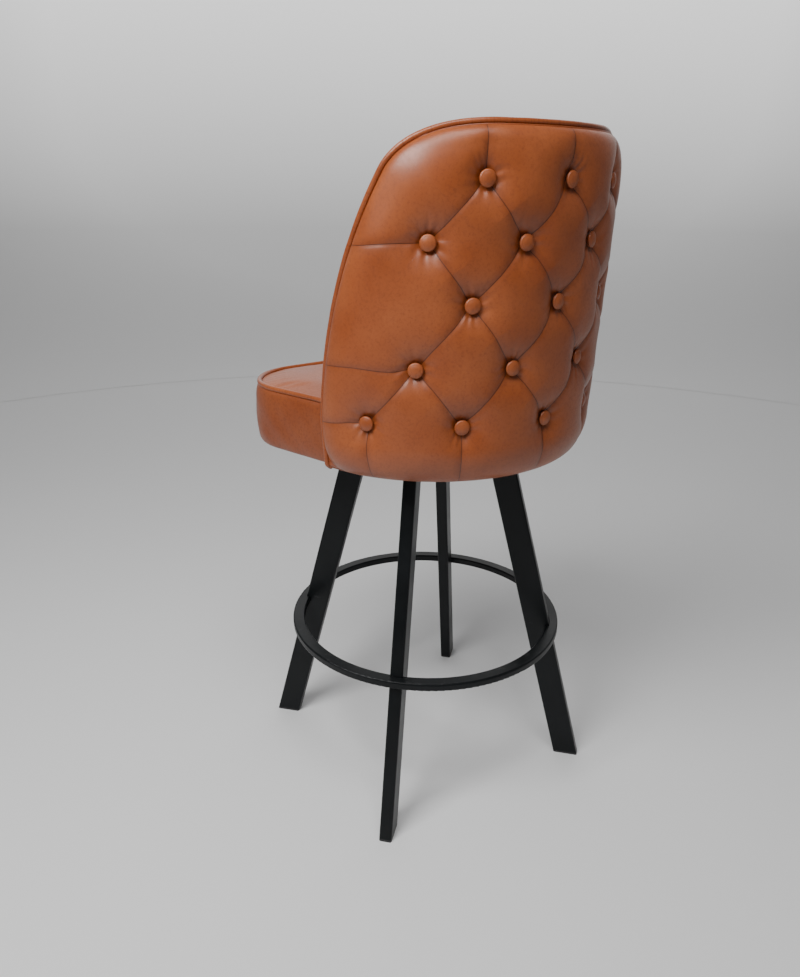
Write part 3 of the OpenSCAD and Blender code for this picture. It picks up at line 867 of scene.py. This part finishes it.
swell(cushion, np.arange(200 * 2), 3 * MM)
cushion_finer = cushion.modifiers.new("finer", "SUBSURF")
cushion_finer.levels = cushion_finer.render_levels = 1
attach(cushion, "seat")
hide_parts("seat_top")

# %% [markdown]
# ## Covered buttons
#
# A covered button is a metal shell with a disc of leather rolled round its rim. Its
# section is a low dome with a tight round edge, turned about the nail that holds it, and
# each row is one piece with the same button set at each place.

# %% Buttons
button_r, button_top, button_high = 10.2 * MM, 5.2 * MM, 6.0 * MM


def button_row(row):
    """Turned section: height falls as the radius to the power 2.4, then a quarter circle rolls the rim."""
    flat = np.linspace(0.12, 1, 9)
    crown = button_high - 1.5 * MM * flat ** 2.4
    roll = np.linspace(0, np.pi / 2, 6)[1:]
    edge = 2.6 * MM
    rim_r = button_r - edge + edge * np.sin(roll)
    section_r = np.concatenate([flat * (button_r - edge), rim_r, [button_r - 1.5 * MM]])
    section_h = np.concatenate([crown, crown[-1] - edge + edge * np.cos(roll), [0]])
    a = np.linspace(0, 2 * np.pi, 32, endpoint=False)
    n, rows = len(a), len(section_r)
    places, quads, caps = [], [], []
    for k, (s, z) in enumerate(buttons[row]):
        turn = s / flat_r
        foot = wall_r(z) - button_top - button_high
        out = np.array([np.sin(turn), np.cos(turn), 0])
        across = np.array([np.cos(turn), -np.sin(turn), 0])
        ring = np.cos(a)[:, None] * across + np.sin(a)[:, None] * np.array([0, 0, 1])
        centre = np.array([0, axis_y, z]) + (foot + section_h)[:, None] * out
        places.append((centre[:, None] + section_r[:, None, None] * ring).reshape(-1, 3))
        first = k * n * rows
        quads.append(grid_quads(rows, n, start=first))
        caps += [list(range(first, first + n))[::-1], list(range(first + (rows - 1) * n, first + rows * n))]
    name = "covered_buttons_%d" % (row + 1)
    return make_piece(name, np.concatenate(places), np.concatenate(quads), caps=caps)


button_rows = [button_row(row) for row in range(5)]
for number, piece in enumerate(button_rows, 1):
    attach(piece, "seat")
    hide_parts("buttons_row_%d" % number)

# %% [markdown]
# ## Shared effects
#
# Leather grain is small rounded pebbles with fine lines between them, and its colour
# drifts in clouds where the dye took more or less. Powder coat has a faint orange peel.
# Both are groups, because several finishes use them with their own values.

# %% Grain of the hide
hide_grain, into, out_of = new_group(
    "hide_grain", {"Pebble": 0.0016, "Cloud": 0.07}, ("Height", "Clouds", "Specks"))
tree = hide_grain
pebble_scale = calc(tree, "DIVIDE", 1.0, into["Pebble"])
cloud_scale = calc(tree, "DIVIDE", 1.0, into["Cloud"])
warp = add_node(tree, "TexNoise", Vector=into["Vector"], Scale=180.0, Detail=2.0)
shift = add_node(tree, "VectorMath", {"operation": "MULTIPLY_ADD"})
tree.links.new(warp.outputs["Color"], shift.inputs[0])
shift.inputs[1].default_value = (0.0009, 0.0009, 0.0009)
tree.links.new(into["Vector"], shift.inputs[2])
cells = add_node(tree, "TexVoronoi", {"feature": "DISTANCE_TO_EDGE"},
                 Vector=shift.outputs[0], Scale=pebble_scale)
domes = span(tree, cells.outputs["Distance"], 0.0, 0.32)
fine = noise(tree, into["Vector"], 1500.0, 3.0)
tree.links.new(calc(tree, "MULTIPLY_ADD", fine, 0.35, domes), out_of["Height"])
clouds = noise(tree, into["Vector"], cloud_scale, 5.0, Roughness=0.55)
tree.links.new(span(tree, clouds, 0.3, 0.7), out_of["Clouds"])
specks = noise(tree, into["Vector"], 260.0, 4.0, Roughness=0.7)
tree.links.new(span(tree, specks, 0.35, 0.7), out_of["Specks"])

# %% Orange peel of powder coat
powder_coat, into, out_of = new_group("powder_coat", {"Peel": 0.0022}, ("Height", "Patches"))
tree = powder_coat
peel = noise(tree, into["Vector"], calc(tree, "DIVIDE", 1.0, into["Peel"]), 2.0)
tree.links.new(peel, out_of["Height"])
patches = noise(tree, into["Vector"], 14.0, 4.0)
tree.links.new(span(tree, patches, 0.35, 0.65), out_of["Patches"])

# %% Marks of tools on metal
tool_marks, into, out_of = new_group("tool_marks", {"Mark": 0.0008, "Stretch": 14.0}, ("Height", "Tone"))
tree = tool_marks
parts = split(tree, into["Vector"])
long_x = calc(tree, "DIVIDE", parts[0], into["Stretch"])
drawn = add_node(tree, "CombineXYZ", X=long_x, Y=parts[1], Z=parts[2])
scratches = noise(tree, drawn.outputs[0], calc(tree, "DIVIDE", 1.0, into["Mark"]), 3.0)
tree.links.new(scratches, out_of["Height"])
tones = noise(tree, into["Vector"], 45.0, 5.0)
tree.links.new(span(tree, tones, 0.3, 0.7), out_of["Tone"])
print("groups:", [group.name for group in bpy.data.node_groups])

# %% [markdown]
# ## Leather
#
# Waxed cowhide: a warm tan that is darker in clouds and in the pores. Round each button and
# along each pleat the tan is painted darker, a painted shade for the dimples and valleys. The
# fold line itself is drawn from the signed distances on the padding: a dark thread of
# shadow, with the hide of one side lapping a little over the other. The side band's tan is
# painted darker all over, a painted shade.

# %% Leather finish
TAN_DARK, TAN, TAN_LIGHT = (0.110, 0.020, 0.0045, 1), (0.255, 0.056, 0.0120, 1), (0.340, 0.086, 0.0220, 1)
FOLD = (0.050, 0.009, 0.002, 1)


def leather_finish(name, pebble, cloud, pleated=False, painted_shade=0.0):
    """Principled leather: clouds mix three tans, pores and painted shade darken it, pleats add painted
    shade and fold lines.
    """
    material, tree, shader, place = new_finish(name, Coat_Weight=0.12, Coat_Roughness=0.28)
    grain = place_group(tree, hide_grain, place, Pebble=pebble, Cloud=cloud)
    base = mix_colour(tree, grain["Clouds"], TAN, TAN_LIGHT)
    # The last argument raises the dark share all over the piece: a painted shade, used on the side band.
    dark_share = span(tree, grain["Specks"], 0.35, 1.0, painted_shade, painted_shade + 0.34)
    base = mix_colour(tree, dark_share, base, TAN_DARK)
    height = grain["Height"]
    if pleated:
        marks = add_node(tree, "Attribute", {"attribute_name": "pleats"})
        sides = split(tree, marks.outputs["Vector"])
        button_shade = add_node(tree, "Attribute", {"attribute_name": "button_shade"}).outputs["Fac"]
        folds = [calc(tree, "ABSOLUTE", sides[k]) for k in range(3)]
        nearest = calc(tree, "MINIMUM", calc(tree, "MINIMUM", folds[0], folds[1]), folds[2])
        # Painted shade: darker within 11 mm of a fold and round each button, standing in for the shade in
        # the valleys and dimples.
        shade = times(tree, span(tree, nearest, 11.0, 0.0), 0.30)
        shade = calc(tree, "MAXIMUM", shade, span(tree, button_shade, 0.25, 0.75, 0.0, 0.34))
        base = mix_colour(tree, shade, base, TAN_DARK)
        line = span(tree, nearest, 0.75, 0.25)
        base = mix_colour(tree, times(tree, line, 0.85), base, FOLD)
        laps = [times(tree, calc(tree, "GREATER_THAN", sides[k], 0.0),
                     span(tree, folds[k], 5.0, 0.0)) for k in range(3)]
        lap = calc(tree, "ADD", calc(tree, "ADD", laps[0], laps[1]), laps[2])
        height = calc(tree, "SUBTRACT", height, times(tree, line, 3.0))
        height = calc(tree, "MULTIPLY_ADD", lap, 4.5, height)
    tree.links.new(base, shader.inputs["Base Color"])
    rough = span(tree, grain["Clouds"], 0, 1, 0.33, 0.42)
    rough = calc(tree, "ADD", rough, span(tree, grain["Specks"], 0, 1, 0.0, 0.08))
    tree.links.new(rough, shader.inputs["Roughness"])
    bump(tree, shader, height, 0.30, 0.00012)
    return material


leather = leather_finish("leather_cushion", 0.0017, 0.085)
tufted_leather = leather_finish("leather_tufted", 0.0017, 0.075, pleated=True)
outer.data.materials.append(tufted_leather)
for piece in (inner, cushion):
    piece.data.materials.append(leather)
# The side band's leather is painted darker all over: a painted shade.
band.data.materials.append(leather_finish("leather_band", 0.0017, 0.085, painted_shade=0.34))
print("leather pieces:", outer.name, inner.name, band.name, cushion.name)

# %% [markdown]
# ## Leather on welts and buttons
#
# Wrapped round a cord the strip of hide wrinkles across its length, so the welt's bump
# reads the distance along it. On a button the hide is stretched smooth, and its grain
# is finer.

# %% Welt and button finishes
def welt_finish():
    """Leather with fine cross wrinkles: noise squeezed along the welt's length, with painted shade in their
    troughs.
    """
    material, tree, shader, place = new_finish("leather_welt", Coat_Weight=0.15, Coat_Roughness=0.25)
    grain = place_group(tree, hide_grain, place, Pebble=0.0012, Cloud=0.05)
    base = mix_colour(tree, grain["Clouds"], TAN, TAN_LIGHT)
    along = add_node(tree, "Attribute", {"attribute_name": "along"}).outputs["Fac"]
    spot = add_node(tree, "CombineXYZ", X=times(tree, along, 320.0))
    wrinkles = noise(tree, spot.outputs[0], 1.0, 2.0)
    wrinkle = span(tree, wrinkles, 0.3, 0.7)
    # Painted shade: the tan is darker in the wrinkles' troughs.
    base = mix_colour(tree, span(tree, wrinkle, 0.6, 0.0, 0.0, 0.45), base, TAN_DARK)
    tree.links.new(base, shader.inputs["Base Color"])
    tree.links.new(span(tree, grain["Clouds"], 0, 1, 0.30, 0.38), shader.inputs["Roughness"])
    bump(tree, shader, calc(tree, "MULTIPLY_ADD", wrinkle, 1.6, grain["Height"]), 0.35, 0.00012)
    return material


welt_leather = welt_finish()
button_leather = leather_finish("leather_button", 0.0011, 0.03)
for piece in (back_welt, seat_welt):
    piece.data.materials.append(welt_leather)
for piece in button_rows:
    piece.data.materials.append(button_leather)

# %% [markdown]
# ## Powder-coated steel
#
# The legs, the ring and the plate under the seat are satin black with a trace of blue. The
# coat has a faint peel, and where shoes rest on the ring's top it is polished and scuffed
# grey, so a mask of the height above the ring's middle lets the scuffs show there alone.

# %% Black steel
def black_steel_finish(scuff_height):
    """Near-black coat; scuffs are noise in a thin band of height round scuff_height, the ring's top."""
    material, tree, shader, place = new_finish("black_powder_coat", Specular_IOR_Level=0.2)
    coat = place_group(tree, powder_coat, place, Peel=0.0016)
    base = mix_colour(tree, coat["Patches"], (0.0040, 0.0050, 0.0055, 1), (0.0070, 0.0082, 0.0092, 1))
    parts = split(tree, place)
    scratches = noise(tree, place, 95.0, 6.0, Roughness=0.72)
    scuffed = span(tree, scratches, 0.56, 0.70)
    zone = times(tree, span(tree, parts[2], scuff_height - 0.0015, scuff_height),
                span(tree, parts[2], scuff_height + 0.004, scuff_height + 0.0025))
    scuffed = times(tree, scuffed, zone)
    base = mix_colour(tree, times(tree, scuffed, 0.35), base, (0.09, 0.09, 0.09, 1))
    tree.links.new(base, shader.inputs["Base Color"])
    rough = calc(tree, "ADD", span(tree, coat["Patches"], 0, 1, 0.31, 0.40), times(tree, scuffed, 0.2))
    tree.links.new(rough, shader.inputs["Roughness"])
    bump(tree, shader, coat["Height"], 0.18, 0.00008)
    return material


black_steel = black_steel_finish(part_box("foot_ring")[1][2])

# %% [markdown]
# ## Zinc, brass and polished steel
#
# The swivel plates, bolts and nuts are zinc plated: bright, slightly blue and yellow in
# patches, with drawing marks. The balls are polished, and the cage is stamped brass.

# %% Bare metals
def metal_finish(name, light, dark, rough_low, rough_high, mark):
    """Metal whose colour and roughness drift between two values, with fine drawn marks."""
    material, tree, shader, place = new_finish(name, Metallic=1.0)
    marks = place_group(tree, tool_marks, place, Mark=mark)
    tree.links.new(mix_colour(tree, marks["Tone"], light, dark), shader.inputs["Base Color"])
    tree.links.new(span(tree, marks["Tone"], 0, 1, rough_low, rough_high), shader.inputs["Roughness"])
    bump(tree, shader, marks["Height"], 0.15, 0.00005)
    return material


zinc = metal_finish("zinc_plate", (0.66, 0.67, 0.69, 1), (0.56, 0.54, 0.48, 1), 0.28, 0.42, 0.0007)
polished = metal_finish("polished_ball", (0.80, 0.80, 0.81, 1), (0.74, 0.74, 0.75, 1), 0.05, 0.09, 0.0020)
brass = metal_finish("stamped_brass", (0.80, 0.60, 0.30, 1), (0.62, 0.43, 0.18, 1), 0.24, 0.40, 0.0009)

# %% [markdown]
# ## Plywood, foam, cloth and plastic
#
# These show only from below or with the cover off, but a part that is taken apart needs
# them. Plywood has layers at its edge and long figure on its face. Foam is open cells, the
# dust cover is pressed fibres, and the glides are moulded with a fine texture.

# %% Plywood
def plywood_finish():
    """Bands by height for the layers, and noise stretched along X for the figure of the face."""
    material, tree, shader, place = new_finish("plywood")
    parts = split(tree, place)
    stretched = add_node(tree, "CombineXYZ", X=times(tree, parts[0], 6.0),
                         Y=times(tree, parts[1], 70.0), Z=times(tree, parts[2], 70.0))
    figure = noise(tree, stretched.outputs[0], 1.0, 6.0, Distortion=0.6)
    layers = calc(tree, "SINE", times(tree, parts[2], 2 * np.pi / 0.003))
    base = mix_colour(tree, span(tree, figure, 0.3, 0.7), (0.62, 0.45, 0.28, 1), (0.48, 0.32, 0.18, 1))
    base = mix_colour(tree, span(tree, layers, 0.2, 0.9, 0.0, 0.3), base, (0.36, 0.22, 0.11, 1))
    tree.links.new(base, shader.inputs["Base Color"])
    tree.links.new(span(tree, figure, 0.3, 0.7, 0.55, 0.72), shader.inputs["Roughness"])
    bump(tree, shader, figure, 0.25, 0.0002)
    return material

# %% Foam, cloth and plastic
def foam_finish():
    """Pale yellow with the walls of open cells raised."""
    material, tree, shader, place = new_finish("seat_foam")
    cells = add_node(tree, "TexVoronoi", Vector=place, Scale=700.0)
    tone = noise(tree, place, 18.0, 3.0)
    wall = span(tree, cells.outputs["Distance"], 0.1, 0.6)
    base = mix_colour(tree, wall, (0.70, 0.60, 0.34, 1), (0.90, 0.83, 0.58, 1))
    base = mix_colour(tree, span(tree, tone, 0.3, 0.7, 0.0, 0.35), base, (0.82, 0.70, 0.42, 1))
    tree.links.new(base, shader.inputs["Base Color"])
    tree.links.new(span(tree, tone, 0.3, 0.7, 0.88, 0.97), shader.inputs["Roughness"])
    bump(tree, shader, cells.outputs["Distance"], 0.6, 0.0006)
    return material


def dust_cloth_finish():
    """Black pressed fibres: two stretched noises crossed."""
    material, tree, shader, place = new_finish("dust_cloth")
    parts = split(tree, place)
    lie = [add_node(tree, "CombineXYZ", X=times(tree, parts[0], a), Y=times(tree, parts[1], b))
           for a, b in ((2600.0, 260.0), (260.0, 2600.0))]
    fibres = [noise(tree, way.outputs[0], 1.0, 2.0) for way in lie]
    web = calc(tree, "MAXIMUM", fibres[0], fibres[1])
    base = mix_colour(tree, span(tree, web, 0.5, 0.8), (0.010, 0.010, 0.011, 1), (0.045, 0.045, 0.047, 1))
    tree.links.new(base, shader.inputs["Base Color"])
    tree.links.new(span(tree, web, 0.4, 0.8, 0.95, 0.8), shader.inputs["Roughness"])
    bump(tree, shader, web, 0.5, 0.0003)
    return material


def glide_finish():
    """Black moulded plastic with a spark-eroded texture and paler scuffs near the floor."""
    material, tree, shader, place = new_finish("glide_plastic")
    skin = noise(tree, place, 1400.0, 2.0)
    parts = split(tree, place)
    rubs = noise(tree, place, 160.0, 5.0)
    rubbed = times(tree, span(tree, rubs, 0.5, 0.7), span(tree, parts[2], 0.0015, 0.0))
    base = mix_colour(tree, rubbed, (0.018, 0.018, 0.019, 1), (0.10, 0.10, 0.10, 1))
    tree.links.new(base, shader.inputs["Base Color"])
    tree.links.new(span(tree, skin, 0.3, 0.7, 0.45, 0.6), shader.inputs["Roughness"])
    bump(tree, shader, skin, 0.3, 0.0001)
    return material


finish_of_slot = {
    "black_steel": black_steel, "glide": glide_finish(), "zinc": zinc, "ball": polished, "cage": brass,
    "plywood": plywood_finish(), "foam": foam_finish(), "leather": leather, "welt": welt_leather,
    "button": button_leather, "dust_cloth": dust_cloth_finish(),
}

# %% Dress the frame's own nodes
slot_of = {part["node"]: part["material_slot"] for part in frame["record"]["subparts"]}
for name, node_object in frame["nodes"].items():
    finish = finish_of_slot[slot_of[name]]
    if not node_object.material_slots:
        node_object.data.materials.append(finish)
    for slot in node_object.material_slots:
        slot.material = finish
print("dressed", len(slot_of), "nodes in", len(finish_of_slot), "finishes")
